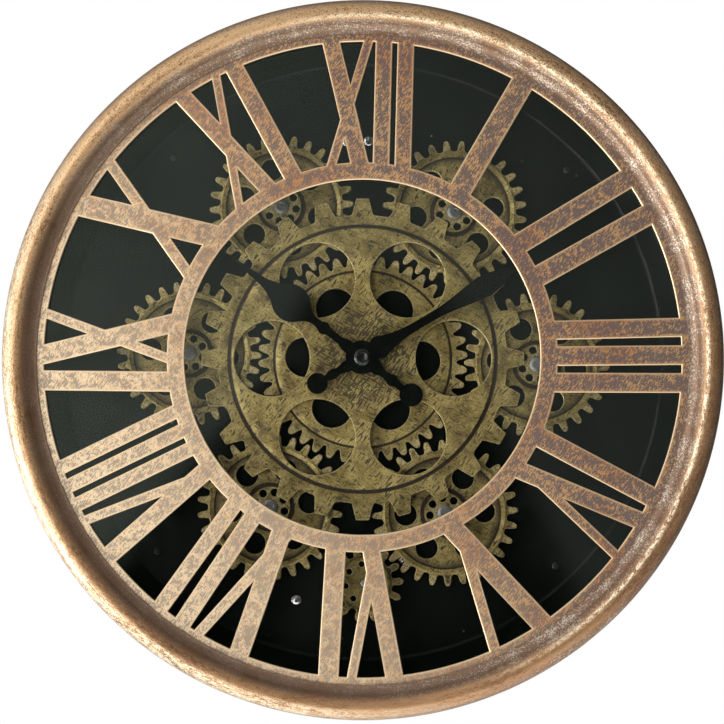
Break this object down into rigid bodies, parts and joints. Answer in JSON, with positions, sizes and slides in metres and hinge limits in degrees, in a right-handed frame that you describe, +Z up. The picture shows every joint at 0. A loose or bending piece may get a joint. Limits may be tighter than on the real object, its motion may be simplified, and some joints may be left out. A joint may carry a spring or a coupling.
{
  "type": "wall clock",
  "caption": "Round wall clock with a rolled metal rim, cut-out Roman numerals, an open planetary gear train and painted hands behind glass.",
  "frame": {"origin": "on the wall plane, where the axis of the hands meets it, at the centre of the back", "axes": "-Y out of the wall towards the viewer, +Z up, +X to the viewer's right"},
  "size_m": [0.53, 0.0729, 0.53],
  "materials": {
    "copper_rim": "rose copper paint, mottled",
    "clear_glass": "clear float glass",
    "gasket_rubber": "matte",
    "black_enamel": "satin black enamel",
    "zinc_steel": "zinc plated",
    "chrome_dome": "polished",
    "gear_plastic": "antique brass metallic paint on moulded plastic",
    "turned_brass": "turned",
    "hand_black": "satin black paint on stamped sheet",
    "black_plastic": "moulded",
    "cell_can": "plain dark sleeve"
  },
  "bodies": {
    "case": {"bezel_ring": "copper_rim", "numeral_plate": "copper_rim", "front_glass": "clear_glass", "glass_gasket": "gasket_rubber", "back_pan": "black_enamel", "rim_bracket_1": "zinc_steel", "rim_bracket_2": "zinc_steel", "rim_bracket_3": "zinc_steel", "rim_bracket_4": "zinc_steel", "bracket_screw_1": "black_enamel", "bracket_screw_2": "black_enamel", "bracket_screw_3": "black_enamel", "bracket_screw_4": "black_enamel", "hanger_bracket": "zinc_steel", "hanger_rivet_1": "chrome_dome", "hanger_rivet_2": "chrome_dome", "centre_bush": "turned_brass", "bush_nut": "zinc_steel", "hub_collar": "turned_brass", "planet_stud_1": "zinc_steel", "planet_stud_2": "zinc_steel", "planet_stud_3": "zinc_steel", "planet_stud_4": "zinc_steel", "planet_stud_5": "zinc_steel", "planet_stud_6": "zinc_steel", "gear_motor_case": "black_plastic", "motor_screw_1": "chrome_dome", "motor_screw_2": "chrome_dome", "motor_cell_1": "cell_can", "motor_cell_2": "cell_can", "movement_case": "black_plastic", "movement_cell": "cell_can"},
    "front_wheel": {"gear_wheel": "gear_plastic", "sun_gear": "gear_plastic", "wheel_hub": "turned_brass"},
    "planet_1": {"planet_gear_1": "gear_plastic"},
    "planet_2": {"planet_gear_2": "gear_plastic"},
    "planet_3": {"planet_gear_3": "gear_plastic"},
    "planet_4": {"planet_gear_4": "gear_plastic"},
    "planet_5": {"planet_gear_5": "gear_plastic"},
    "planet_6": {"planet_gear_6": "gear_plastic"},
    "driver": {"drive_gear": "gear_plastic", "drive_shaft": "zinc_steel"},
    "minute": {"minute_hand": "hand_black", "minute_arbor": "zinc_steel", "hand_nut": "hand_black"},
    "hour": {"hour_hand": "hand_black", "hour_pipe": "turned_brass"},
    "knob": {"setting_knob": "black_plastic"},
    "switch": {"gear_switch": "black_plastic"}
  },
  "joints": [
    {"name": "wheel_spin", "type": "hinge", "parent": "case", "child": "front_wheel", "pos_m": [0, 0, 0], "axis": [0, 1, 0], "continuous": true},
    {"name": "planet_1_spin", "type": "hinge", "parent": "case", "child": "planet_1", "pos_m": [0.13012, 0, -0.00454], "axis": [0, 1, 0], "continuous": true},
    {"name": "planet_2_spin", "type": "hinge", "parent": "case", "child": "planet_2", "pos_m": [0.069, 0, 0.11042], "axis": [0, 1, 0], "continuous": true},
    {"name": "planet_3_spin", "type": "hinge", "parent": "case", "child": "planet_3", "pos_m": [-0.06113, 0, 0.11496], "axis": [0, 1, 0], "continuous": true},
    {"name": "planet_4_spin", "type": "hinge", "parent": "case", "child": "planet_4", "pos_m": [-0.13012, 0, 0.00454], "axis": [0, 1, 0], "continuous": true},
    {"name": "planet_5_spin", "type": "hinge", "parent": "case", "child": "planet_5", "pos_m": [-0.069, 0, -0.11042], "axis": [0, 1, 0], "continuous": true},
    {"name": "planet_6_spin", "type": "hinge", "parent": "case", "child": "planet_6", "pos_m": [0.06113, 0, -0.11496], "axis": [0, 1, 0], "continuous": true},
    {"name": "driver_spin", "type": "hinge", "parent": "case", "child": "driver", "pos_m": [0.00141, 0, -0.16687], "axis": [0, 1, 0], "continuous": true},
    {"name": "minute_spin", "type": "hinge", "parent": "case", "child": "minute", "pos_m": [0, 0, 0], "axis": [0, 1, 0], "continuous": true},
    {"name": "hour_spin", "type": "hinge", "parent": "case", "child": "hour", "pos_m": [0, 0, 0], "axis": [0, 1, 0], "continuous": true},
    {"name": "knob_spin", "type": "hinge", "parent": "case", "child": "knob", "pos_m": [0.012, 0, 0.013], "axis": [0, 1, 0], "continuous": true},
    {"name": "switch_slide", "type": "slide", "parent": "case", "child": "switch", "axis": [1, 0, 0], "range_m": [0, 0.003]}
  ],
  "couplings": [
    {"joint": "planet_1_spin", "follows": "wheel_spin", "ratio": -1.5},
    {"joint": "planet_2_spin", "follows": "wheel_spin", "ratio": -1.5},
    {"joint": "planet_3_spin", "follows": "wheel_spin", "ratio": -1.5},
    {"joint": "planet_4_spin", "follows": "wheel_spin", "ratio": -1.5},
    {"joint": "planet_5_spin", "follows": "wheel_spin", "ratio": -1.5},
    {"joint": "planet_6_spin", "follows": "wheel_spin", "ratio": -1.5},
    {"joint": "driver_spin", "follows": "wheel_spin", "ratio": 3},
    {"joint": "hour_spin", "follows": "minute_spin", "ratio": 0.083333},
    {"joint": "knob_spin", "follows": "minute_spin", "ratio": -1}
  ]
}
